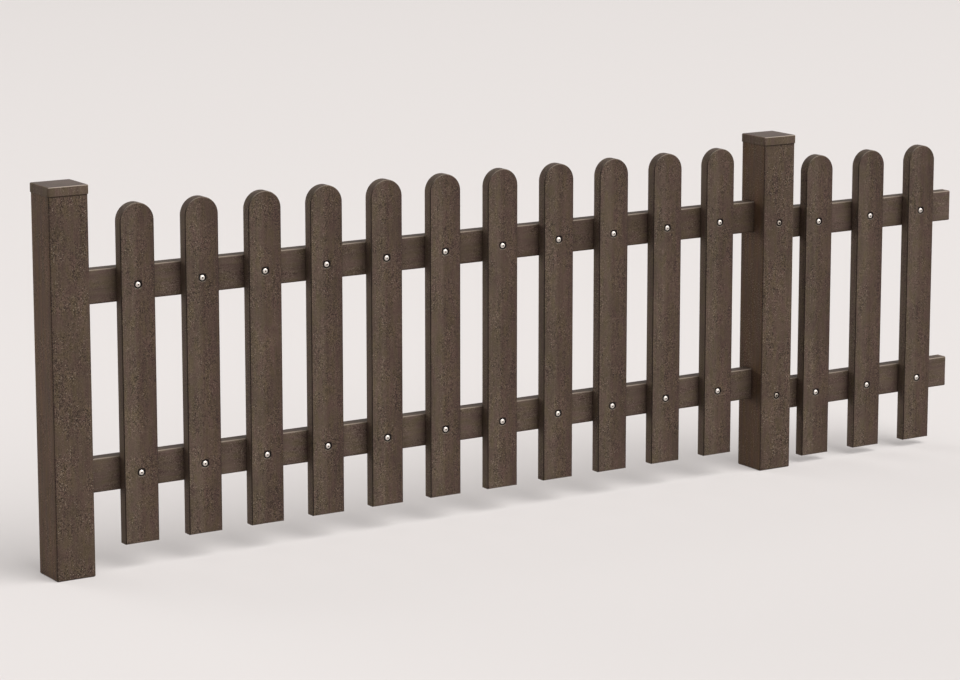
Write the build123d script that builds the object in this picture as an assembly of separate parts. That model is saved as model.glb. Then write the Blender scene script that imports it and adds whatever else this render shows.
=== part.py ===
"""Picket fence in recycled plastic: one full bay between two capped posts, and the start of the next bay.

The origin is the centre of the left post's foot, on the ground. +X runs along the fence to the right,
+Y to its back and +Z up. All sizes are in millimetres.
"""

import os

from build123d import *

# Posts: square bars that stand on the ground
post_width = 90.0
post_edge_radius = 3.0
post_rise = 48.5  # from the pickets' tops to the left post's head
post_step = 30.0  # the right post's head is this much lower

# Caps: moulded boxes pushed over the posts' heads
cap_height = 21.0
cap_wall = 1.5
cap_top = 3.0
cap_edge_radius = 2.5
cap_clearance = 0.2

# Rails: flat bars let into mortises in the posts
rail_height = 75.0
rail_thickness = 32.0
rail_edge_radius = 4.0
rail_offset = 11.0  # the rails' middle lies behind the posts' middle
mortise_clearance = 0.3
tenon_past_middle = 5.0  # a rail's left end reaches past the middle of its post
mortise_web = 6.0  # solid plastic left between the mortises of two bays
rail_end_gap = 4.0  # room for a rail's right end to grow in the sun

# Pickets: boards with half-round heads, screwed to the rails' front faces
picket_width = 80.0
picket_thickness = 26.0
picket_length = 742.0
picket_edge_chamfer = 2.0
lower_rail_rise = 117.5  # from the pickets' lower ends to the lower rail's underside
upper_rail_drop = 139.0  # from the pickets' tops to the upper rail's top

# Full bay
picket_count = 11
picket_gap = 73.6
end_gap = 79.5  # between a post and the picket beside it

# Next bay, which follows the ground down
next_picket_foot = 17.5  # from the ground to the pickets' lower ends
bay_drop = 37.5
next_picket_count = 3
next_picket_gap = 80.0
next_end_gap = 49.5
next_upper_rail_drop = 125.0
rail_overhang = 74.5  # from the last picket to the rails' cut ends

# Screw seats: flat-bottomed sinkings for the screws' heads
seat_diameter = 17.0
seat_depth = 3.0
post_seat_offset = 2.5  # to the right of the post's middle
post_seat_rise = 10.0  # above the middle of the next bay's rail

# Places worked out from the sizes above
picket_foot = next_picket_foot + bay_drop
picket_top = picket_foot + picket_length
lower_rail_level = picket_foot + lower_rail_rise
upper_rail_level = picket_top - upper_rail_drop - rail_height
next_lower_rail_level = next_picket_foot + lower_rail_rise
next_upper_rail_level = next_picket_foot + picket_length - next_upper_rail_drop - rail_height

left_post_length = picket_top + post_rise
right_post_length = left_post_length - post_step
half_post = post_width / 2
post_spacing = post_width + 2 * end_gap + picket_count * picket_width + (picket_count - 1) * picket_gap

rail_front = rail_offset - rail_thickness / 2
picket_front = rail_front - picket_thickness
left_tenon = half_post + tenon_past_middle
right_mortise = half_post - tenon_past_middle - mortise_web
right_tenon = right_mortise - rail_end_gap

picket_pitch = picket_width + picket_gap
first_picket = half_post + end_gap + picket_width / 2
next_picket_pitch = picket_width + next_picket_gap
next_first_picket = post_spacing + half_post + next_end_gap + picket_width / 2
last_picket = next_first_picket + (next_picket_count - 1) * next_picket_pitch
rail_cut_end = last_picket + picket_width / 2 + rail_overhang


def rail_bar(left_end, right_end, level, clearance=0.0):
    """Bar of the rails' section between two places along the fence, with its underside at a level.

    A clearance widens it at the front, back and top, as a mortise is wider than the rail that rests in it.
    """
    height = rail_height + clearance
    thickness = rail_thickness + 2 * clearance
    middle = Vector(left_end, rail_offset, level + height / 2)
    section = RectangleRounded(thickness, height, rail_edge_radius)
    return extrude(Plane(origin=middle, x_dir=(0, 1, 0), z_dir=(1, 0, 0)) * section, right_end - left_end)


def screw_seat(along, front, level):
    """Sinking for a screw's head in a front face."""
    mouth = Plane(origin=(along, front, level), z_dir=(0, 1, 0))
    return extrude(mouth * Circle(seat_diameter / 2), seat_depth)


def post(along, length):
    """Square bar with rounded corners, standing on the ground."""
    section = Pos(along, 0, 0) * RectangleRounded(post_width, post_width, post_edge_radius)
    return extrude(section, length)


def mortise_right(along, level):
    """Mortise in a post's right face, for the left end of a rail."""
    mouth = along + half_post
    return rail_bar(mouth - left_tenon, mouth, level, mortise_clearance)


def mortise_left(along, level):
    """Mortise in a post's left face, for the right end of a rail."""
    mouth = along - half_post
    return rail_bar(mouth, mouth + right_mortise, level, mortise_clearance)


def post_cap(along, head):
    """Hollow square cap whose top rests on a post's head, rounded along its top edges."""
    hollow_side = post_width + 2 * cap_clearance
    outer_side = hollow_side + 2 * cap_wall
    rim = head + cap_top - cap_height
    corner_radius = post_edge_radius + cap_clearance
    outer_section = RectangleRounded(outer_side, outer_side, corner_radius + cap_wall)
    hollow_section = RectangleRounded(hollow_side, hollow_side, corner_radius)
    shell = extrude(Pos(along, 0, rim) * outer_section, cap_height)
    shell = fillet(shell.faces().sort_by(Axis.Z)[-1].edges(), cap_edge_radius)
    return shell - extrude(Pos(along, 0, rim) * hollow_section, cap_height - cap_top)


def picket(along, foot, seat_levels):
    """Board with a half-round head, eased along its sides and head, with a screw seat at each level."""
    radius = picket_width / 2
    shoulder = foot + picket_length - radius
    front = Plane(origin=(along, picket_front, 0), x_dir=(1, 0, 0), z_dir=(0, -1, 0))
    outline = Polyline((radius, shoulder), (radius, foot), (-radius, foot), (-radius, shoulder))
    outline += ThreePointArc((-radius, shoulder), (0, shoulder + radius), (radius, shoulder))
    board = extrude(front * make_face(outline), -picket_thickness)
    eased = [edge for edge in board.edges() if edge.center().Z > foot and abs(edge.tangent_at(0.5).Y) < 0.5]
    board = chamfer(eased, picket_edge_chamfer)
    for level in seat_levels:
        board -= screw_seat(along, picket_front, level)
    return board


parts = {}

# Posts, with a mortise for each rail end and the seats of the screws that hold the next bay's rails
parts["left_post"] = post(0, left_post_length)
for level in (lower_rail_level, upper_rail_level):
    parts["left_post"] -= mortise_right(0, level)

parts["right_post"] = post(post_spacing, right_post_length)
for level in (lower_rail_level, upper_rail_level):
    parts["right_post"] -= mortise_left(post_spacing, level)
for level in (next_lower_rail_level, next_upper_rail_level):
    parts["right_post"] -= mortise_right(post_spacing, level)
    seat_level = level + rail_height / 2 + post_seat_rise
    parts["right_post"] -= screw_seat(post_spacing + post_seat_offset, -half_post, seat_level)

# Caps
parts["left_post_cap"] = post_cap(0, left_post_length)
parts["right_post_cap"] = post_cap(post_spacing, right_post_length)

# Rails
bay_left_end = half_post - left_tenon
bay_right_end = post_spacing - half_post + right_tenon
parts["lower_rail"] = rail_bar(bay_left_end, bay_right_end, lower_rail_level)
parts["upper_rail"] = rail_bar(bay_left_end, bay_right_end, upper_rail_level)
next_left_end = post_spacing + half_post - left_tenon
parts["next_bay_lower_rail"] = rail_bar(next_left_end, rail_cut_end, next_lower_rail_level)
parts["next_bay_upper_rail"] = rail_bar(next_left_end, rail_cut_end, next_upper_rail_level)

# Pickets
seat_levels = [level + rail_height / 2 for level in (lower_rail_level, upper_rail_level)]
for number in range(picket_count):
    parts[f"picket_{number + 1:02d}"] = picket(first_picket + number * picket_pitch, picket_foot, seat_levels)

next_seat_levels = [level + rail_height / 2 for level in (next_lower_rail_level, next_upper_rail_level)]
for number in range(next_picket_count):
    along = next_first_picket + number * next_picket_pitch
    parts[f"next_bay_picket_{number + 1:02d}"] = picket(along, next_picket_foot, next_seat_levels)

os.makedirs("parts", exist_ok=True)
for name, solid in parts.items():
    export_step(solid, f"parts/{name}.step")
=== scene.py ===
import math
from typing import NamedTuple

import bmesh
import bpy
import numpy as np
from mathutils import Euler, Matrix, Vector


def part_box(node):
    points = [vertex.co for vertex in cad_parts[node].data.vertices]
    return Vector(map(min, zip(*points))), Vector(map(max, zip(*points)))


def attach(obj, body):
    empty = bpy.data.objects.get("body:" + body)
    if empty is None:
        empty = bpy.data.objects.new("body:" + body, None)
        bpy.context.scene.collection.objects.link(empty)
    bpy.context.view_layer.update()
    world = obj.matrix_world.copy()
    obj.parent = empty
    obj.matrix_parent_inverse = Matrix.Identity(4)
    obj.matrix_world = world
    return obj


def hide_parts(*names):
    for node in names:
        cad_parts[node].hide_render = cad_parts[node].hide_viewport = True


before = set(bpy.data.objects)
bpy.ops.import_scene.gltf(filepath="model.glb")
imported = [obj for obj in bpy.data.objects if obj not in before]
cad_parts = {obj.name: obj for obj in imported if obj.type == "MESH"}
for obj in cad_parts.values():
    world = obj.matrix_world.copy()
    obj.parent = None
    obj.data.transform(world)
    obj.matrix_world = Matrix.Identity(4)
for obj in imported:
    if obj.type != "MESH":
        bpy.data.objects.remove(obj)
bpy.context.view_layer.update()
nodes = sorted(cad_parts)

# Posts
# Square bars of recycled polyolefin, pressed into a mould as a melt, so that their faces are matt and
# speckled, and sank a little in cooling. Mortises in their sides carry the rails, and the ends are sawn
# square. Sizes are in metres here and below, unless a name ends in mm.
post_edge = 0.003
post_foot_edge = 0.003
post_dish = 0.0004  # how far the middle of a face sank
post_cell = 0.012  # longest side of a face's cells
post_end_rings = (1, 0.5, 0)  # rings of cells on a sawn end, as shares of its outline
edge_steps = 5  # points round a quarter-round edge
seat_radius = 0.0085
seat_depth = 0.003
seat_window = 0.0125  # half the square of face round a seat that has finer cells
seat_cell = 0.0026
post_seat_offset = 0.0025  # to the right of the post's middle
post_seat_rise = 0.010  # above the middle of the next bay's rail
mortise_clearance = 0.0003
mortise_margin = 0.002  # width of the collar of face round a mortise
cap_shade = 0.0035  # height of the painted shadow below a cap
weld_distance = 1e-5
smooth_angle = math.radians(40)
highlight_rise = 1.5  # how fast the painted highlight takes over from the painted shade as an edge turns upwards
skin, sawn, drilled = 0, 1, 2  # finishes of a piece's faces, as places in its list of materials

# Width, length along the flow in millimetres, and octaves of each pattern in the plastic. The flakes that
# it was pressed from are about a millimetre across: grain, grit and flecks are drawn coarser, so that they
# show.
blots = {
    "cloud": (60, 150, 2.0),
    "streak": (3.2, 90, 2.0),
    "draw": (9, 160, 2.0),
    "flush": (14, 40, 2.0),
    "bustle": (34, 60, 1.5),
    "grain": (2.0, 2.4, 1.5),
    "grit": (1.9, 2.4, 3.0),
}
blot_roughness = 0.6
blot_start, blot_spacing = 1.3, 1.9  # shifts that keep the patterns from running together
cloud_weight = 0.5
streak_weight = 0.4
calm_grain = 0.6
busy_grain = 2.5
bustle_span = (0.38, 0.62)  # from calm to busy
patch_span = (0.35, 0.65)  # from no mark to a full one
grain_span = (0.3, 0.7)  # over which the skin's roughness runs
skin_roughness = (0.54, 0.7)
grit_strength = 0.5
grit_depth = 0.0005
fleck_mm = 3.6
fleck_span = (0.36, 0.12)  # from a fleck's rim to where it is whole, as shares of its cell
plastic_ior = 1.5
# Colour of the painted highlight on edges that look up
highlight_colour = "#8b7f72"
# Near black, laid on as painted shade on the edges and below the caps. It also darkens the rails' and
# pickets' faces that look up
shade_dark = "#120d0a"
# Painted light that lifts the posts' flanks
flank_light = "#3c2100"
along_fence, upright = 0, 2  # axes of the melt's flow

# Span of the flush pattern, and tint, of the patches that lean to red and to olive
tints = ((0.5, 0.65, "#faf2fa"), (0.5, 0.35, "#fbfff0"))

# Span of the cells' lots, largest share, and colour of the pale flecks and the dark ones
flecks = ((0.64, 0.84, 0.44, "#8d8071"), (0.3, 0.12, 0.3, "#1d1611"))

share_in, under_in, over_in, mixed_out = 0, 6, 7, 2  # sockets of a Mix node that mixes colours


class Mark(NamedTuple):
    """Painted shade or light, or a darker or cooler tone: up to a share of a colour, laid on as an attribute
    of the piece runs from start to end. Where blot names a pattern, that breaks the mark up."""
    attribute: str
    start: float
    end: float
    share: float
    colour: str
    blend: str = "MIX"
    blot: str | None = None


class Pocket(NamedTuple):
    """Sinking in a face: its middle, half the window of face round it, its mouth and its depth. The mouth
    is a radius, or the share of the window that a square-cornered mouth takes each way."""
    u: float
    v: float
    half_u: float
    half_v: float
    mouth: float | tuple
    depth: float


def linear(hex_colour):
    """sRGB hex to the linear colour that shaders take: each channel c becomes ((c + 0.055) / 1.055) ** 2.4,
    or c / 12.92 near black."""
    channels = np.array([int(hex_colour[i:i + 2], 16) for i in (1, 3, 5)]) / 255
    bent = np.where(channels <= 0.04045, channels / 12.92, ((channels + 0.055) / 1.055) ** 2.4)
    return (*bent.tolist(), 1.0)


def set_inputs(tree, node, inputs):
    """Gives each named input of a node a value or a link."""
    for name, value in inputs.items():
        if isinstance(value, bpy.types.NodeSocket):
            tree.links.new(value, node.inputs[name])
        else:
            node.inputs[name].default_value = value


def add_node(tree, kind, inputs=None, **settings):
    """Adds a shader node, with its settings, values and links."""
    made = tree.nodes.new(kind)
    for name, value in settings.items():
        setattr(made, name, value)
    set_inputs(tree, made, inputs or {})
    return made


def new_material(name):
    """A material, its node tree and its shader."""
    material = bpy.data.materials.new(name)
    material.use_nodes = True
    tree = material.node_tree
    return material, tree, tree.nodes["Principled BSDF"]


def recycled_plastic(name, flow, speckle, deep, pale, sheen, marks):
    """Recycled polyolefin, pressed from ground flakes: a matt brown skin, mottled by a fine grain and by
    pale and dark flecks, cloudy in tone, with faint streaks along the flow and here and there a redder
    flush.

    flow is the axis of the melt's flow, and speckle the grain's strength. The tone runs between the colours
    deep and pale, and the marks are laid over it.
    """
    material, tree, shader = new_material(name)
    place = add_node(tree, "ShaderNodeTexCoord").outputs["Object"]
    pattern = {}
    for number, (blot, (width, length, octaves)) in enumerate(blots.items()):
        scale = [1000 / width] * 3
        scale[flow] = 1000 / length
        apart = (blot_start + blot_spacing * number,) * 3
        drawn = add_node(tree, "ShaderNodeMapping", {"Vector": place, "Scale": scale, "Location": apart})
        noise = {"Vector": drawn.outputs["Vector"], "Scale": 1.0, "Detail": octaves}
        noise |= {"Roughness": blot_roughness}
        pattern[blot] = add_node(tree, "ShaderNodeTexNoise", noise).outputs["Fac"]

    # Tone: the grain about its middle, stronger where there is more bustle, and the clouds and streaks
    limits = {"Value": pattern["bustle"], "From Min": bustle_span[0], "From Max": bustle_span[1]}
    limits |= {"To Min": calm_grain * speckle, "To Max": busy_grain * speckle}
    strength = add_node(tree, "ShaderNodeMapRange", limits).outputs["Result"]
    about = {0: pattern["grain"], 1: 0.5}
    grain = add_node(tree, "ShaderNodeMath", about, operation="SUBTRACT").outputs[0]
    more = {0: grain, 1: strength, 2: 0.5 - (cloud_weight + streak_weight) / 2}
    tone = add_node(tree, "ShaderNodeMath", more, operation="MULTIPLY_ADD").outputs[0]
    for blot, weight in (("cloud", cloud_weight), ("streak", streak_weight)):
        more = {0: pattern[blot], 1: weight, 2: tone}
        tone = add_node(tree, "ShaderNodeMath", more, operation="MULTIPLY_ADD").outputs[0]
    ends = {share_in: tone, under_in: linear(deep), over_in: linear(pale)}
    colour = add_node(tree, "ShaderNodeMix", ends, data_type="RGBA").outputs[mixed_out]

    # Hue: patches that lean to red and others that lean to olive
    for start, end, tint in tints:
        limits = {"Value": pattern["flush"], "From Min": start, "From Max": end}
        share = add_node(tree, "ShaderNodeMapRange", limits).outputs["Result"]
        over = {share_in: share, under_in: colour, over_in: linear(tint)}
        mixed = add_node(tree, "ShaderNodeMix", over, data_type="RGBA", blend_type="MULTIPLY")
        colour = mixed.outputs[mixed_out]

    # Flecks: a round spot in some cells, pale where the cell's lot is high and dark where it is low
    cells = add_node(tree, "ShaderNodeTexVoronoi", {"Vector": place, "Scale": 1000 / fleck_mm})
    lot = add_node(tree, "ShaderNodeSeparateColor", {"Color": cells.outputs["Color"]}).outputs["Red"]
    limits = {"Value": cells.outputs["Distance"], "From Min": fleck_span[0], "From Max": fleck_span[1]}
    spot = add_node(tree, "ShaderNodeMapRange", limits, interpolation_type="SMOOTHSTEP").outputs["Result"]
    spot = add_node(tree, "ShaderNodeMath", {0: spot, 1: strength}, operation="MULTIPLY").outputs[0]
    for start, end, most, fleck in flecks:
        limits = {"Value": lot, "From Min": start, "From Max": end, "To Max": most}
        chosen = add_node(tree, "ShaderNodeMapRange", limits).outputs["Result"]
        share = add_node(tree, "ShaderNodeMath", {0: spot, 1: chosen}, operation="MULTIPLY").outputs[0]
        over = {share_in: share, under_in: colour, over_in: linear(fleck)}
        colour = add_node(tree, "ShaderNodeMix", over, data_type="RGBA").outputs[mixed_out]

    # Painted shade and light, and darker or cooler tones, where the piece's attributes mark them
    for mark in marks:
        value = add_node(tree, "ShaderNodeAttribute", attribute_name=mark.attribute).outputs["Fac"]
        limits = {"Value": value, "From Min": mark.start, "From Max": mark.end, "To Max": mark.share}
        eased = add_node(tree, "ShaderNodeMapRange", limits, interpolation_type="SMOOTHSTEP")
        share = eased.outputs["Result"]
        if mark.blot:
            limits = {"Value": pattern[mark.blot], "From Min": patch_span[0], "From Max": patch_span[1]}
            patchy = add_node(tree, "ShaderNodeMapRange", limits).outputs["Result"]
            broken = add_node(tree, "ShaderNodeMath", {0: share, 1: patchy}, operation="MULTIPLY")
            share = broken.outputs[0]
        over = {share_in: share, under_in: colour, over_in: linear(mark.colour)}
        mixed = add_node(tree, "ShaderNodeMix", over, data_type="RGBA", blend_type=mark.blend)
        colour = mixed.outputs[mixed_out]

    # Skin: rougher where the grain is pale, with a fine grit
    limits = {"Value": pattern["grain"], "From Min": grain_span[0], "From Max": grain_span[1]}
    limits |= {"To Min": skin_roughness[0], "To Max": skin_roughness[1]}
    gloss = add_node(tree, "ShaderNodeMapRange", limits).outputs["Result"]
    grit = {"Height": pattern["grit"], "Strength": grit_strength, "Distance": grit_depth}
    bump = add_node(tree, "ShaderNodeBump", grit).outputs["Normal"]
    set_inputs(tree, shader, {"Base Color": colour, "Roughness": gloss, "Normal": bump})
    set_inputs(tree, shader, {"IOR": plastic_ior, "Specular IOR Level": sheen})
    return material


def cut_plastic(name, body, pore):
    """Cut recycled polyolefin: saw and drill lay open a core full of gas pores, duller than the skin."""
    pore_mm = 3.0
    pore_span = (0.15, 0.38)  # from a pore's floor to the wall round it, as shares of its cell
    pore_strength = 0.6
    pore_depth = 0.0008
    material, tree, shader = new_material(name)
    place = add_node(tree, "ShaderNodeTexCoord").outputs["Object"]
    cells = add_node(tree, "ShaderNodeTexVoronoi", {"Vector": place, "Scale": 1000 / pore_mm})
    limits = {"Value": cells.outputs["Distance"], "From Min": pore_span[0], "From Max": pore_span[1]}
    wall = add_node(tree, "ShaderNodeMapRange", limits).outputs["Result"]
    ends = {share_in: wall, under_in: linear(pore), over_in: linear(body)}
    colour = add_node(tree, "ShaderNodeMix", ends, data_type="RGBA").outputs[mixed_out]
    pits = {"Height": wall, "Strength": pore_strength, "Distance": pore_depth}
    bump = add_node(tree, "ShaderNodeBump", pits).outputs["Normal"]
    set_inputs(tree, shader, {"Base Color": colour, "Normal": bump})
    set_inputs(tree, shader, {"Roughness": 0.75, "Specular IOR Level": 0.2})
    return material


def lines(marks, step, fine=(), fine_step=None):
    """Sorted places that pass through every mark, at most step apart, or fine_step inside the fine spans."""
    marks = np.unique(np.round(marks, 7))
    rounding = 1e-6
    runs = []
    for low, high in zip(marks[:-1], marks[1:]):
        middle = (low + high) / 2
        within = any(first < middle < last for first, last in fine)
        count = math.ceil((high - low) / (fine_step if within else step) - rounding)
        runs.append(np.linspace(low, high, count + 1)[:-1])
    return np.concatenate([*runs, marks[-1:]])


def whole(points, finish=skin):
    """Patch with all its cells."""
    return points, np.ones((points.shape[0] - 1, points.shape[1] - 1), bool), finish


def pocketed_face(us, vs, place, pockets):
    """Patches of a face on the columns us and rows vs, where place(u, v, depth) gives points in space.

    The cells of each pocket's window are left out. A collar runs from the window's border to the mouth, and
    a well down the wall and over the floor to the middle.
    """
    u, v = np.meshgrid(us, vs)
    cells = np.ones((len(vs) - 1, len(us) - 1), bool)
    patches = []
    for pocket in pockets:
        i = np.flatnonzero(abs(vs - pocket.v) < pocket.half_v + weld_distance)
        j = np.flatnonzero(abs(us - pocket.u) < pocket.half_u + weld_distance)
        cells[i[0]:i[-1], j[0]:j[-1]] = False
        rows = (np.full(len(j) - 1, i[0]), i[:-1], np.full(len(j) - 1, i[-1]), i[:0:-1], i[:1])
        columns = (j[:-1], np.full(len(i) - 1, j[-1]), j[:0:-1], np.full(len(i) - 1, j[0]), j[:1])
        border = np.concatenate(rows), np.concatenate(columns)
        out = np.stack((u[border] - pocket.u, v[border] - pocket.v))
        if isinstance(pocket.mouth, tuple):
            rim = out * np.array(pocket.mouth)[:, None]
        else:
            rim = out * pocket.mouth / np.hypot(*out)
        collar = (out, (out + rim) / 2, rim), (0, 0, 0), skin
        well = (rim, rim, rim / 2, rim * 0), (0, pocket.depth, pocket.depth, pocket.depth), drilled
        for rings, depths, finish in (collar, well):
            rings = np.stack(rings)
            points = place(rings[:, 0] + pocket.u, rings[:, 1] + pocket.v, np.array(depths)[:, None])
            patches.append(whole(points, finish))
    return [(place(u, v, 0.0), cells, skin), *patches]


def write_attribute(piece, name, values):
    """Gives each vertex of a piece a number, for the materials to read."""
    piece.data.attributes.new(name, "FLOAT", "POINT").data.foreach_set("value", values)


def vertex_places(piece):
    """x, y and z of a piece's vertices."""
    places = np.empty(len(piece.data.vertices) * 3)
    piece.data.vertices.foreach_get("co", places)
    return places.reshape(-1, 3).T


def write_normal_masks(piece):
    """Attributes for painted light and shade, from each vertex's normal (x, y, z).

    edge = (1 - max(|y|, hypot(x, z))) / (1 - sqrt(0.5)) is 0 on the flats and 1 halfway round an edge of
    the front or back. As far as such an edge looks up it takes a painted highlight, and the rest painted
    shade. upward is z, and sideways is |x|.
    """
    normals = np.empty(len(piece.data.vertices) * 3)
    piece.data.vertex_normals.foreach_get("vector", normals)
    x, y, z = normals.reshape(-1, 3).T
    edge = (1 - np.maximum(abs(y), np.hypot(x, z))) / (1 - math.sqrt(0.5))
    highlit_edge = edge * np.clip(z * highlight_rise, 0, 1)
    write_attribute(piece, "highlit_edge", highlit_edge)
    write_attribute(piece, "shaded_edge", edge - highlit_edge)
    write_attribute(piece, "upward", z)
    write_attribute(piece, "sideways", abs(x))


def build(name, patches, materials):
    """Object from patches (points, cells, finish): each True cell between four neighbouring points is a face
    with that finish. Patches that meet are welded, and the faces turned outwards."""
    corners, quads, finishes = [], [], []
    start = 0
    for points, cells, finish in patches:
        index = start + np.arange(points.shape[0] * points.shape[1]).reshape(points.shape[:2])
        ring = np.stack((index[:-1, :-1], index[:-1, 1:], index[1:, 1:], index[1:, :-1]), axis=-1)
        quads.append(ring[cells])
        finishes.append(np.full(int(cells.sum()), finish))
        corners.append(points.reshape(-1, 3))
        start += index.size
    mesh = bpy.data.meshes.new(name)
    mesh.from_pydata(np.concatenate(corners).tolist(), [], np.concatenate(quads).tolist())
    mesh.polygons.foreach_set("material_index", np.concatenate(finishes))
    shell = bmesh.new()
    shell.from_mesh(mesh)
    bmesh.ops.remove_doubles(shell, verts=shell.verts, dist=weld_distance)
    bmesh.ops.recalc_face_normals(shell, faces=shell.faces)
    shell.to_mesh(mesh)
    shell.free()
    mesh.shade_smooth()
    mesh.set_sharp_from_angle(angle=smooth_angle)
    for material in materials:
        mesh.materials.append(material)
    piece = bpy.data.objects.new(name, mesh)
    bpy.context.scene.collection.objects.link(piece)
    write_normal_masks(piece)
    return piece


def seat(u, v):
    """Round, flat-bottomed seat of a screw."""
    return Pocket(u, v, seat_window, seat_window, seat_radius, seat_depth)


def mortise(post_low, post_high, rail_low, rail_high, side):
    """Mortise in a post's right face, for a side of 1, or its left one, for -1: the rail's section with
    clearance in front, behind and above, and as deep as the rail reaches in."""
    half_u = (rail_high.y - rail_low.y) / 2 + mortise_clearance
    half_v = (rail_high.z - rail_low.z + mortise_clearance) / 2
    window = (half_u + mortise_margin, half_v + mortise_margin)
    mouth = (half_u / window[0], half_v / window[1])
    reach = min(rail_high.x, post_high.x) - max(rail_low.x, post_low.x)
    return Pocket(side * (rail_high.y + rail_low.y) / 2, rail_low.z + half_v, *window, mouth, reach)


def post_patches(low, high, rim, left_rails, right_rails, seats):
    """A post between two corners: four dished faces joined by quarter-round edges, and its two ends.

    rim is the level of the cap's rim, left_rails and right_rails are the boxes of the rails that are let in,
    and seats lists (x, z) on the front face. Each side is worked out as along, out and up from the post's
    axis.
    """
    half = (high.x - low.x) / 2
    flat = half - post_edge
    middle = (high.x + low.x) / 2
    front = [seat(x - middle, z) for x, z in seats]
    left = [mortise(low, high, *box, -1) for box in left_rails]
    right = [mortise(low, high, *box, 1) for box in right_rails]
    windows = [(pocket.v - pocket.half_v, pocket.v + pocket.half_v) for pocket in (*front, *left, *right)]
    marks = [low.z + post_foot_edge, rim - cap_shade, rim, high.z, *np.ravel(windows)]
    vs = lines(marks, post_cell, windows[:len(front)], seat_cell)
    turn = np.linspace(0, math.pi / 2, edge_steps)
    corner = flat + post_edge * np.column_stack((np.sin(turn), np.cos(turn)))
    inset = post_foot_edge / half * (1 - np.cos(turn))
    levels = low.z + post_foot_edge * (1 - np.sin(turn))

    def face(u, v, depth):
        """Point of a face, sunk by dish * (1 - (u / flat) ** 2) and by a pocket's depth."""
        u, v, depth = np.broadcast_arrays(u, v, depth)
        return np.stack((u, half - post_dish * (1 - (u / flat) ** 2) - depth, v), axis=-1)

    patches = []
    for pockets, along, out in (
        (front, (1, 0), (0, -1)),
        (right, (0, 1), (1, 0)),
        ([], (-1, 0), (0, 1)),
        (left, (0, -1), (-1, 0)),
    ):
        spans = [(pocket.u - pocket.half_u, pocket.u + pocket.half_u) for pocket in pockets]
        us = lines([-flat, flat, *np.ravel(spans)], post_cell, spans, seat_cell)
        bend = np.repeat(corner[:, None], len(vs), axis=1)
        heights = np.tile(vs[:, None], (edge_steps, 1, 1))
        tip = np.column_stack((corner, np.full(edge_steps, high.z)))
        head = np.concatenate((face(us, high.z, 0.0), tip))
        foot = np.stack([head * (1 - share, 1 - share, 0) + (0, 0, z) for share, z in zip(inset, levels)])
        side = [
            *pocketed_face(us, vs, face, pockets),
            whole(np.concatenate((bend, heights), axis=-1)),
            whole(np.stack([head * (share, share, 1) for share in post_end_rings]), sawn),
            whole(foot),
            whole(np.stack([foot[-1] * (share, share, 1) for share in post_end_rings]), sawn),
        ]
        for points, cells, finish in side:
            plan = points[..., :1] * along + points[..., 1:2] * out + (middle, 0)
            patches.append((np.concatenate((plan, points[..., 2:]), axis=-1), cells, finish))
    return patches


# Painted light on the posts: the flanks lifted, a highlight on edges that look up, shade on the other edges,
# and a shadow below the cap
post_marks = [
    Mark("sideways", 0.9, 1.0, 0.08, flank_light, "ADD"),
    Mark("sideways", 0.9, 1.0, 0.5, flank_light, "ADD", "draw"),
    Mark("highlit_edge", 0.0, 0.7, 0.6, highlight_colour),
    Mark("shaded_edge", 0.0, 0.6, 0.45, shade_dark),
    Mark("shaded", 0.0, 1.0, 0.75, shade_dark),
]
post_plastic = recycled_plastic(
    "recycled plastic post", upright, speckle=1.45, deep="#261e17", pale="#69574a", sheen=0.15,
    marks=post_marks,
)
sawn_plastic = cut_plastic("sawn recycled plastic", "#5a4d42", "#2b231c")
# The drilled plastic is near black: painted shade in the seats, the mortises and round the screw heads
shaded_drilled_plastic = cut_plastic("drilled recycled plastic", "#17110d", "#0d0907")
rail_boxes = {name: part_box(name) for name in nodes if name.endswith("rail")}
bay_boxes = [rail_boxes["lower_rail"], rail_boxes["upper_rail"]]
next_boxes = [rail_boxes["next_bay_lower_rail"], rail_boxes["next_bay_upper_rail"]]
right_low, right_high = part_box("right_post")
post_seat_x = (right_low.x + right_high.x) / 2 + post_seat_offset
post_seats = [(post_seat_x, (low.z + high.z) / 2 + post_seat_rise) for low, high in next_boxes]
for name, left_rails, right_rails, seats in (
    ("left_post", [], bay_boxes, []),
    ("right_post", bay_boxes, next_boxes, post_seats),
):
    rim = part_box(name + "_cap")[0].z
    patches = post_patches(*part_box(name), rim, left_rails, right_rails, seats)
    piece = build(name + "_bar", patches, [post_plastic, sawn_plastic, shaded_drilled_plastic])
    x, y, z = vertex_places(piece)
    # Painted shadow below the cap, on the front and back faces only
    flank = abs(y) < abs(y).max() - post_edge
    write_attribute(piece, "shaded", np.where(flank, 0, np.clip(1 - (rim - z) / cap_shade, 0, 1)))
    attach(piece, "root")
    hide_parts(name)

# Post caps
# Hollow square caps injection-moulded in the same brown, pushed over the posts' heads. Their edges are round
# with a pale painted highlight, and the tops are crowned a little, so that rain runs off, and laid over with
# a cool grey that is dust and a painted sheen tint.
cap_wall = 0.0015
cap_plate = 0.003
cap_edge = 0.0025
cap_corner = 0.004
cap_least_corner = 0.0008
cap_crown = 0.0008
cap_lip = 0.0006  # rounding of the skirt's lower edge
cap_flat_points = 13
cap_least_reach = 1e-6  # half-width of the rings at the cap's axis
crown_rings = 9
crown_reach = 0.97  # share of the top that those rings cover
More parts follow.
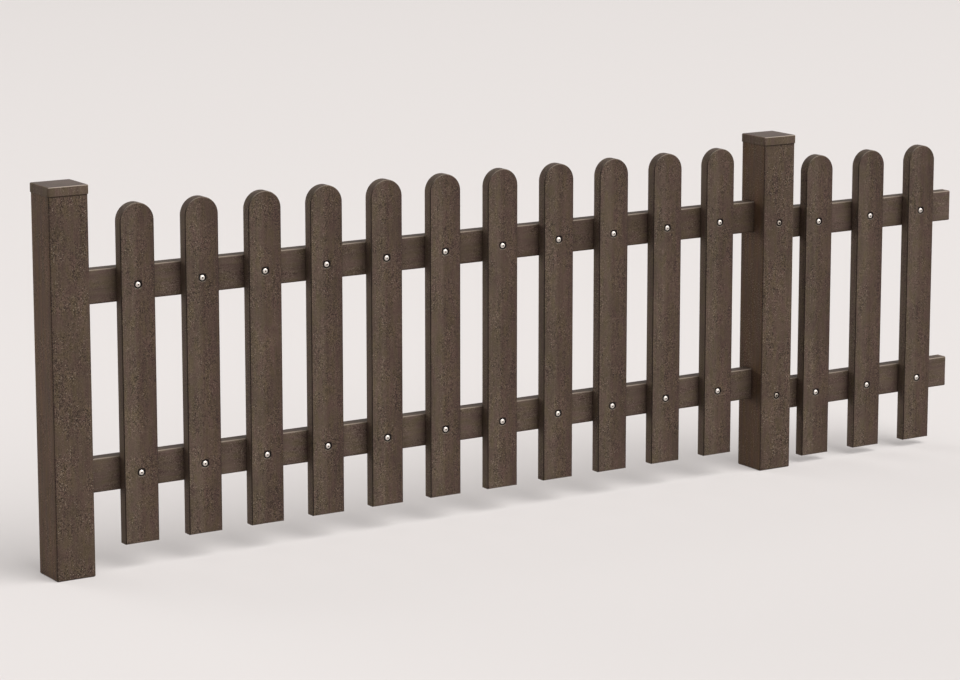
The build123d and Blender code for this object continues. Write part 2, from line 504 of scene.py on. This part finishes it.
# Pale painted highlight on the caps' edges, and a cool grey on their tops that is dust and a painted sheen
# tint
cap_highlight = "#a4988c"
dust_and_sheen = "#2a2d36"
cap_marks = [
    Mark("highlit_edge", 0.0, 0.7, 0.85, cap_highlight),
    Mark("upward", 0.9, 1.0, 0.38, dust_and_sheen),
]
cap_plastic = recycled_plastic(
    "moulded plastic cap", upright, speckle=0.7, deep="#34281f", pale="#6d5d50", sheen=0.13,
    marks=cap_marks,
)


def rounded_square(half, radius):
    """Closed loop of points round a square with quarter-round corners, as x and y from its middle."""
    flat = np.linspace(radius - half, half - radius, cap_flat_points)
    turn = np.linspace(0, math.pi / 2, edge_steps)[1:-1]
    run = np.stack((flat, np.full_like(flat, -half)))
    bend = np.stack((half - radius + radius * np.sin(turn), radius - half - radius * np.cos(turn)))
    side = np.concatenate((run, bend), axis=1)
    quarter = np.array([[0, -1], [1, 0]])
    loop = np.concatenate([np.linalg.matrix_power(quarter, k) @ side for k in range(4)], axis=1)
    return np.concatenate((loop, loop[:, :1]), axis=1).T


def cap_profile(half, low, high):
    """Half-widths and levels from the middle of the crowned top, level = high - crown * share ** 2, over the
    quarter-round edge, down the skirt, and up inside to the middle of the plate."""
    share = np.linspace(0, crown_reach, crown_rings)
    turn = np.linspace(math.pi / 2, 0, edge_steps)
    shoulder = half - cap_edge
    inner = half - cap_wall
    under = high - cap_plate
    crown = np.column_stack((share * shoulder, high - cap_crown * share ** 2))
    edge = (shoulder + cap_edge * np.cos(turn), high - cap_crown - cap_edge * (1 - np.sin(turn)))
    skirt = [(half, low + cap_lip), (half - cap_lip, low), (inner, low)]
    plate = [(inner, under), (inner / 2, under), (0, under)]
    return np.concatenate((crown, np.column_stack(edge), skirt, plate))


for name in ("left_post_cap", "right_post_cap"):
    low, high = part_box(name)
    half = (high.x - low.x) / 2
    middle = (high.x + low.x) / 2
    rings = []
    for reach, level in cap_profile(half, low.z, high.z):
        reach = max(reach, cap_least_reach)
        corner = min(max(cap_corner - (half - reach), cap_least_corner), reach / 2)
        loop = rounded_square(reach, corner) + (middle, 0)
        rings.append(np.column_stack((loop, np.full(len(loop), level))))
    piece = build(name + "_shell", [whole(np.stack(rings))], [cap_plastic])
    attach(piece, "root")
    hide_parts(name)

# Rails
# Flat bars of the same plastic, drawn lengthwise so that the streaks run along the fence. Their ends sit in
# the posts' mortises, the next bay's far ends are sawn square, and painted shade falls to the right of each
# picket and post. The top front edge has a painted highlight, the top face is darker, and the bay's upper
# rail darkens towards its right end.
rail_edge = 0.004
rail_dish = 0.0003
rail_cell = 0.012
rail_flat_points = 7
rail_end_rings = (1, 0.6, 0.3, 0)  # rings of cells on a sawn end, as shares of its outline
rail_shade = 0.030  # width of the painted shade beside a picket or post
rail_shade_colour = "#e0dcd8"
rail_darkening = "#eae6e2"
# Painted shade beside the pickets and posts, the upper rail darker to the right, a painted highlight on the
# top front edge and a darker top face
rail_marks = [
    Mark("shaded", 0.0, 1.0, 1.0, rail_shade_colour, "MULTIPLY"),
    Mark("darkened", 0.0, 1.0, 1.0, rail_darkening, "MULTIPLY"),
    Mark("highlit_edge", 0.0, 0.7, 0.8, highlight_colour),
    Mark("upward", 0.9, 1.0, 0.5, shade_dark),
]
rail_plastic = recycled_plastic(
    "recycled plastic rail", along_fence, speckle=0.75, deep="#2e231c", pale="#726155", sheen=0.15,
    marks=rail_marks,
)


def rail_section(half_y, half_z):
    """Closed loop of y and z round a rail's section: flats sunk by dish * (1 - share ** 2), where share runs
    from 0 in a flat's middle to 1 at its ends, joined by quarter-round edges."""
    turn = np.linspace(0, math.pi / 2, edge_steps)[1:-1]
    loop = []
    for along, out, flat, reach in (
        ((0, 1), (-1, 0), half_z, half_y),
        ((1, 0), (0, 1), half_y, half_z),
        ((0, -1), (1, 0), half_z, half_y),
        ((-1, 0), (0, -1), half_y, half_z),
    ):
        u = np.linspace(rail_edge - flat, flat - rail_edge, rail_flat_points)
        inward = reach - rail_dish * (1 - (u / (flat - rail_edge)) ** 2)
        run = np.outer(u, along) + np.outer(inward, out)
        middle = (flat - rail_edge) * np.array(along) + (reach - rail_edge) * np.array(out)
        bend = middle + rail_edge * (np.outer(np.cos(turn), out) + np.outer(np.sin(turn), along))
        loop += [run, bend]
    loop = np.concatenate(loop)
    return np.concatenate((loop, loop[:1]))


right_edges = np.array([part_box(name)[1].x for name in nodes if "picket" in name or name.endswith("post")])
for name, (low, high) in rail_boxes.items():
    edges = right_edges[(right_edges > low.x) & (right_edges < high.x)]
    section = rail_section((high.y - low.y) / 2, (high.z - low.z) / 2)
    middle = np.array(((low.y + high.y) / 2, (low.z + high.z) / 2))
    xs = lines([low.x, high.x, *edges, *(edges + rail_shade)], rail_cell)
    ring = np.broadcast_to(section + middle, (len(xs), *section.shape))
    along = np.broadcast_to(xs[:, None, None], (len(xs), len(section), 1))
    patches = [whole(np.concatenate((along, ring), axis=-1))]
    for end in (low.x, high.x):
        rings = np.array(rail_end_rings)[:, None, None] * section + middle
        along = np.full((*rings.shape[:2], 1), end)
        patches.append(whole(np.concatenate((along, rings), axis=-1), sawn))
    piece = build(name + "_bar", patches, [rail_plastic, sawn_plastic])

    # Painted shade fades out from each right edge on the rail's front half. The bay's upper rail darkens to
    # the right
    x, y, z = vertex_places(piece)
    past = x[:, None] - edges + weld_distance
    shaded = np.where(past > 0, 1 - past / rail_shade, 0).clip(0, 1).max(axis=1)
    write_attribute(piece, "shaded", shaded * (y < middle[0]))
    write_attribute(piece, "darkened", (x - low.x) / (high.x - low.x) * (name == "upper_rail"))
    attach(piece, "root")
    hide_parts(name)

# Pickets
# Boards of the same plastic with half-round heads, screwed to the front of the rails. Their edges are eased
# all round, with painted shade on those that face sideways or down and a painted highlight on those that
# look up, the faces sank a little in cooling, and a flat-bottomed seat takes each screw's head.
picket_edge = 0.0022
picket_dish = 0.0004
picket_cell = 0.008
head_rows = 12
side_light = "#1f1b18"
middle_shade = "#e9e2e2"
right_shade = "#efebef"
# Painted light on the pickets: the sides lifted, painted shade across each face towards the right, a
# highlight on edges that look up and shade on the other edges. Faces that look partly up are darkened
picket_marks = [
    Mark("sideways", 0.9, 1.0, 1.0, side_light, "ADD"),
    Mark("across", -0.3, 0.05, 1.0, middle_shade, "MULTIPLY"),
    Mark("across", 0.3, 1.0, 1.0, right_shade, "MULTIPLY"),
    Mark("upward", 0.1, 0.7, 0.45, shade_dark),
    Mark("highlit_edge", 0.0, 0.7, 0.6, highlight_colour),
    Mark("shaded_edge", 0.0, 0.5, 0.92, shade_dark),
]
picket_plastic = recycled_plastic(
    "recycled plastic picket", upright, speckle=1.1, deep="#27201a", pale="#705f51", sheen=0.15,
    marks=picket_marks,
)


def head_patch(us, flat):
    """Coons patch of a half-disc over a straight shoulder: the right and left borders take the arc's first
    and last eighth turns, and the top border the quarter turn between them. Gives x, and z above the
    shoulder."""
    u = ((us / flat + 1) / 2)[None, :]
    v = np.linspace(0, 1, head_rows)[:, None]

    def arc(turn):
        """Point of the head's arc, from the right shoulder at 0 to the left one at pi."""
        return np.stack((flat * np.cos(turn), flat * np.sin(turn)), axis=-1)

    eighth = math.pi / 4
    bottom = np.stack((us, np.zeros_like(us)), axis=-1)[None]
    top = arc(3 * eighth - u * 2 * eighth)
    left = arc(math.pi - v * eighth)
    right = arc(v * eighth)
    u, v = u[..., None], v[..., None]
    lower_ends = (1 - u) * bottom[:, :1] + u * bottom[:, -1:]
    upper_ends = (1 - u) * top[:, :1] + u * top[:, -1:]
    return (1 - v) * (bottom - lower_ends) + v * (top - upper_ends) + (1 - u) * left + u * right


def picket_patches(low, high, seat_levels):
    """A picket between two corners: front and back faces inset by the eased edge, and a rim between them."""
    half = (high.x - low.x) / 2
    flat = half - picket_edge
    middle = (high.x + low.x) / 2
    shoulder = high.z - half
    windows = [(level - seat_window, level + seat_window) for level in seat_levels]
    span = (-seat_window, seat_window)
    us = lines([-flat, flat, *span], picket_cell, [span], seat_cell)
    vs = lines([low.z + picket_edge, shoulder, *np.ravel(windows)], picket_cell, windows, seat_cell)

    def dish(u, v):
        """Depth of the sunken front: dish * (1 - share ** 2), where share is the distance from the middle
        line, or in the head from the arc's centre, over that distance at the border."""
        share = np.hypot(u, np.maximum(v - shoulder, 0)) / flat
        return picket_dish * (1 - share ** 2)

    def front(u, v, depth):
        """Point of the front face, sunk by the dish and by a seat's depth."""
        u, v, depth = np.broadcast_arrays(u, v, depth)
        return np.stack((middle + u, low.y + dish(u, v) + depth, v), axis=-1)

    def back(u, v):
        """Point of the flat back face."""
        return np.stack((middle + u, np.full_like(u, high.y), v), axis=-1)

    u, v = np.meshgrid(us, vs)
    head = head_patch(us, flat)
    head_u, head_v = head[..., 0], head[..., 1] + shoulder
    patches = pocketed_face(us, vs, front, [seat(0.0, level) for level in seat_levels])
    patches += [whole(front(head_u, head_v, 0.0)), whole(back(u, v)), whole(back(head_u, head_v))]

    # Outline of the faces: the foot, the right side up, the head and the left side down, with its way out
    right = np.full(len(vs) - 1, flat)
    borders = (np.s_[1:, -1], np.s_[-1, -2::-1], np.s_[-2::-1, 0])
    outline_u = np.concatenate((us, right, *[head_u[border] for border in borders], -right))
    foot_v = np.full(len(us), vs[0])
    outline_v = np.concatenate((foot_v, vs[1:], *[head_v[border] for border in borders], vs[-2::-1]))
    foot = outline_v <= vs[0] + weld_distance
    out_u = np.where(foot & (abs(outline_u) < flat - weld_distance), 0.0, outline_u / flat)
    out_v = np.where(foot, -1.0, np.maximum(outline_v - shoulder, 0) / flat)

    # The rim's profile along that outline: quarter round out of the dished front, straight, quarter round
    turn = np.linspace(0, math.pi / 2, edge_steps)[:, None]
    reach = picket_edge * np.concatenate((np.sin(turn), np.cos(turn)))
    near = low.y + picket_edge * (1 - np.cos(turn)) + dish(outline_u, outline_v) * np.cos(turn)
    far = np.broadcast_to(high.y - picket_edge * (1 - np.sin(turn)), near.shape)
    rim_x = middle + outline_u + reach * out_u
    rim_z = outline_v + reach * out_v
    rim = np.stack((rim_x, np.concatenate((near, far)), rim_z), axis=-1)
    return [*patches, whole(rim[:, :len(us)], sawn), whole(rim[:, len(us) - 1:])]


picket_screw_places = []
for name in nodes:
    if "picket" not in name:
        continue
    low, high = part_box(name)
    middle = (low.x + high.x) / 2
    rails = next_boxes if name.startswith("next_bay") else bay_boxes
    levels = [(rail_low.z + rail_high.z) / 2 for rail_low, rail_high in rails]
    picket_screw_places += [(middle, low.y + seat_depth, level) for level in levels]
    patches = picket_patches(low, high, levels)
    piece = build(name + "_board", patches, [picket_plastic, sawn_plastic, shaded_drilled_plastic])
    x, y, z = vertex_places(piece)
    write_attribute(piece, "across", (x - middle) / ((high.x - low.x) / 2))
    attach(piece, "root")
    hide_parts(name)

# Screws
# Stainless steel screws with low button heads and six-lobed sockets, turned down onto the floors of their
# seats. The sockets and the heads' short walls and undersides are the near-black drilled plastic, as painted
# shade. The two in the right post, which hold the next bay's rails, are older, smaller and dull, with a
# wider socket.
head_height = 0.0040
head_wall = 0.0014
picket_head_radius = 0.0060
picket_socket_radius = 0.0018
post_head_radius = 0.0054
post_socket_radius = 0.0026
socket_depth = 0.0020
socket_lobes = 6
socket_lobe = 0.18  # height of the lobes, as a share of the socket's radius
socket_taper = 0.9  # width of the socket's floor, as a share of its mouth
head_points = 36
dome_shares = (0.0, 0.2, 0.4, 0.6, 0.75, 0.87, 0.95, 0.99, 1.0)  # from the socket's edge to the head's rim
bare, in_shade = 0, 1  # finishes of a screw's faces, bare steel and the near-black drilled plastic as painted shade, as places in its list of materials


def screw_heads(places, radius, socket_radius):
    """Button heads joined in one mesh. Rings run from the socket's floor up its six-lobed wall, over the
    dome height = wall + rise * sqrt(1 - (r / radius) ** 2), down the head's short wall and over its
    underside."""
    turn = np.linspace(0, 2 * math.pi, head_points + 1)
    axis = np.zeros_like(turn)
    rim = np.full_like(turn, radius)
    lobe = socket_radius * (1 + socket_lobe * np.cos(socket_lobes * turn))

    def dome(r):
        """Height of the head's top at a radius."""
        return head_wall + (head_height - head_wall) * np.sqrt(np.maximum(1 - (r / radius) ** 2, 0))

    floor = dome(0) - socket_depth
    socket = [(axis, floor), (lobe * socket_taper, floor), (lobe, dome(lobe))]
    top = [(r, dome(r)) for r in (lobe + (rim - lobe) * share for share in dome_shares)]
    wall = [(rim, head_wall), (rim, 0.0), (axis, 0.0)]
    patches = []
    for rings, finish in ((socket, in_shade), (top, bare), (wall, in_shade)):
        r = np.stack([ring for ring, level in rings])
        height = np.stack([np.broadcast_to(level, turn.shape) for ring, level in rings])
        shape = np.stack((r * np.cos(turn), -height, r * np.sin(turn)), axis=-1)
        patches += [whole(shape + np.array(place), finish) for place in places]
    return patches


def stainless_steel(name, colour, roughness):
    """Stainless steel screw head, cold-formed and tumbled: a bright metal with a fine satin blur."""
    tumble_mm = 0.8  # coarser than real tumbling marks, so that they show
    tumble_swing = 0.08  # of the roughness, to each side
    material, tree, shader = new_material(name)
    place = add_node(tree, "ShaderNodeTexCoord").outputs["Object"]
    noise = add_node(tree, "ShaderNodeTexNoise", {"Vector": place, "Scale": 1000 / tumble_mm})
    limits = {"Value": noise.outputs["Fac"]}
    limits |= {"To Min": roughness - tumble_swing, "To Max": roughness + tumble_swing}
    blur = add_node(tree, "ShaderNodeMapRange", limits).outputs["Result"]
    set_inputs(tree, shader, {"Base Color": linear(colour), "Metallic": 1.0, "Roughness": blur})
    return material


bright_steel = stainless_steel("stainless steel", "#cac3bc", 0.55)
dull_steel = stainless_steel("weathered stainless steel", "#a0978d", 0.65)
post_screw_places = [(x, right_low.y + seat_depth, z) for x, z in post_seats]
for name, places, radius, socket_radius, steel in (
    ("picket_screws", picket_screw_places, picket_head_radius, picket_socket_radius, bright_steel),
    ("post_screws", post_screw_places, post_head_radius, post_socket_radius, dull_steel),
):
    piece = build(name, screw_heads(places, radius, socket_radius), [steel, shaded_drilled_plastic])
    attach(piece, "root")

# Floor
# A pale matt studio floor that runs out far past the fence and keeps its soft shadow. To the camera and to
# mirrors it also glows a little, less with distance, so that it looks paler than the light that it gives
# back.
floor_reach = 60.0
floor_paint = "#a39f9d"
floor_colour = "#eae4e2"
near_glow = 0.345
far_glow = 0.275
glow_fade = (2.0, 12.0)  # metres behind the fence


def seen_rays(tree):
    """1 for the rays that show a surface to the camera, to mirrors and through glass, and otherwise 0."""
    rays = add_node(tree, "ShaderNodeLightPath").outputs
    seen = rays["Is Camera Ray"]
    for ray in ("Is Glossy Ray", "Is Transmission Ray"):
        seen = add_node(tree, "ShaderNodeMath", {0: seen, 1: rays[ray]}, operation="MAXIMUM").outputs[0]
    return seen


floor_material, floor_tree, floor_shader = new_material("pale studio floor")
floor_place = add_node(floor_tree, "ShaderNodeTexCoord").outputs["Object"]
behind = add_node(floor_tree, "ShaderNodeSeparateXYZ", {"Vector": floor_place}).outputs["Y"]
limits = {"Value": behind, "From Min": glow_fade[0], "From Max": glow_fade[1]}
limits |= {"To Min": near_glow, "To Max": far_glow}
fading = add_node(floor_tree, "ShaderNodeMapRange", limits).outputs["Result"]
shown = {0: seen_rays(floor_tree), 1: fading}
glow = add_node(floor_tree, "ShaderNodeMath", shown, operation="MULTIPLY").outputs[0]
set_inputs(floor_tree, floor_shader, {"Emission Color": linear(floor_colour), "Emission Strength": glow})
set_inputs(floor_tree, floor_shader, {"Base Color": linear(floor_paint), "Roughness": 0.9})
set_inputs(floor_tree, floor_shader, {"Specular IOR Level": 0.0})
floor_x, floor_y = np.meshgrid((-floor_reach, floor_reach), (-floor_reach, floor_reach))
floor_grid = np.stack((floor_x, floor_y, np.zeros_like(floor_x)), axis=-1)
floor = build("studio_floor", [whole(floor_grid)], [floor_material])

# Light
# A broad soft key from the front right and above, an overhead lamp, and a low soft fill from behind on the
# left that reaches the pieces' left sides. Mirrors and the camera see the sky as pale as the floor.
sky_strength = 0.03
overhead = Vector((0.0, 0.0, 1.0))
key_from = Vector((0.40, -0.59, 0.80))
fill_from = Vector((-0.40, 0.85, 0.10))
scene = bpy.context.scene
scene.view_settings.view_transform = "Standard"
world = bpy.data.worlds.new("studio daylight")
scene.world = world
world.use_nodes = True
sky_tree = world.node_tree
sky = sky_tree.nodes["Background"]
set_inputs(sky_tree, sky, {"Color": (1.0, 1.0, 1.0, 1.0), "Strength": sky_strength})
backdrop = add_node(sky_tree, "ShaderNodeBackground", {"Color": linear(floor_colour), "Strength": 1.0})
skies = {0: seen_rays(sky_tree), 1: sky.outputs["Background"], 2: backdrop.outputs["Background"]}
sky_mix = add_node(sky_tree, "ShaderNodeMixShader", skies).outputs["Shader"]
set_inputs(sky_tree, sky_tree.nodes["World Output"], {"Surface": sky_mix})
for name, strength, spread, source, mirrored in (
    ("key", 3.83, 60, key_from, True),
    ("overhead", 1.45, 90, overhead, True),
    ("fill", 2.6, 45, fill_from, False),
):
    light = bpy.data.lights.new(name, "SUN")
    light.energy = strength
    light.angle = math.radians(spread)
    lamp = bpy.data.objects.new(name, light)
    lamp.rotation_euler = source.to_track_quat("Z", "Y").to_euler()
    lamp.visible_glossy = mirrored
    scene.collection.objects.link(lamp)

# Camera
# Fitted to the posts, rails and pickets in the photograph: a long lens from the front left, a little above
# the fence.
camera_place = (-2.7784, -6.0483, 1.8399)
camera_turn = math.radians(-32.291)
camera_dip = math.radians(9.991)
camera = bpy.data.cameras.new("camera")
camera.sensor_width = 36.0
camera.lens = 119.376
camera.shift_y = -0.08
camera.clip_end = 200.0
camera_object = bpy.data.objects.new("camera", camera)
camera_object.location = camera_place
camera_object.rotation_euler = Euler((math.pi / 2 - camera_dip, 0.0, camera_turn))
scene.collection.objects.link(camera_object)
scene.camera = camera_object
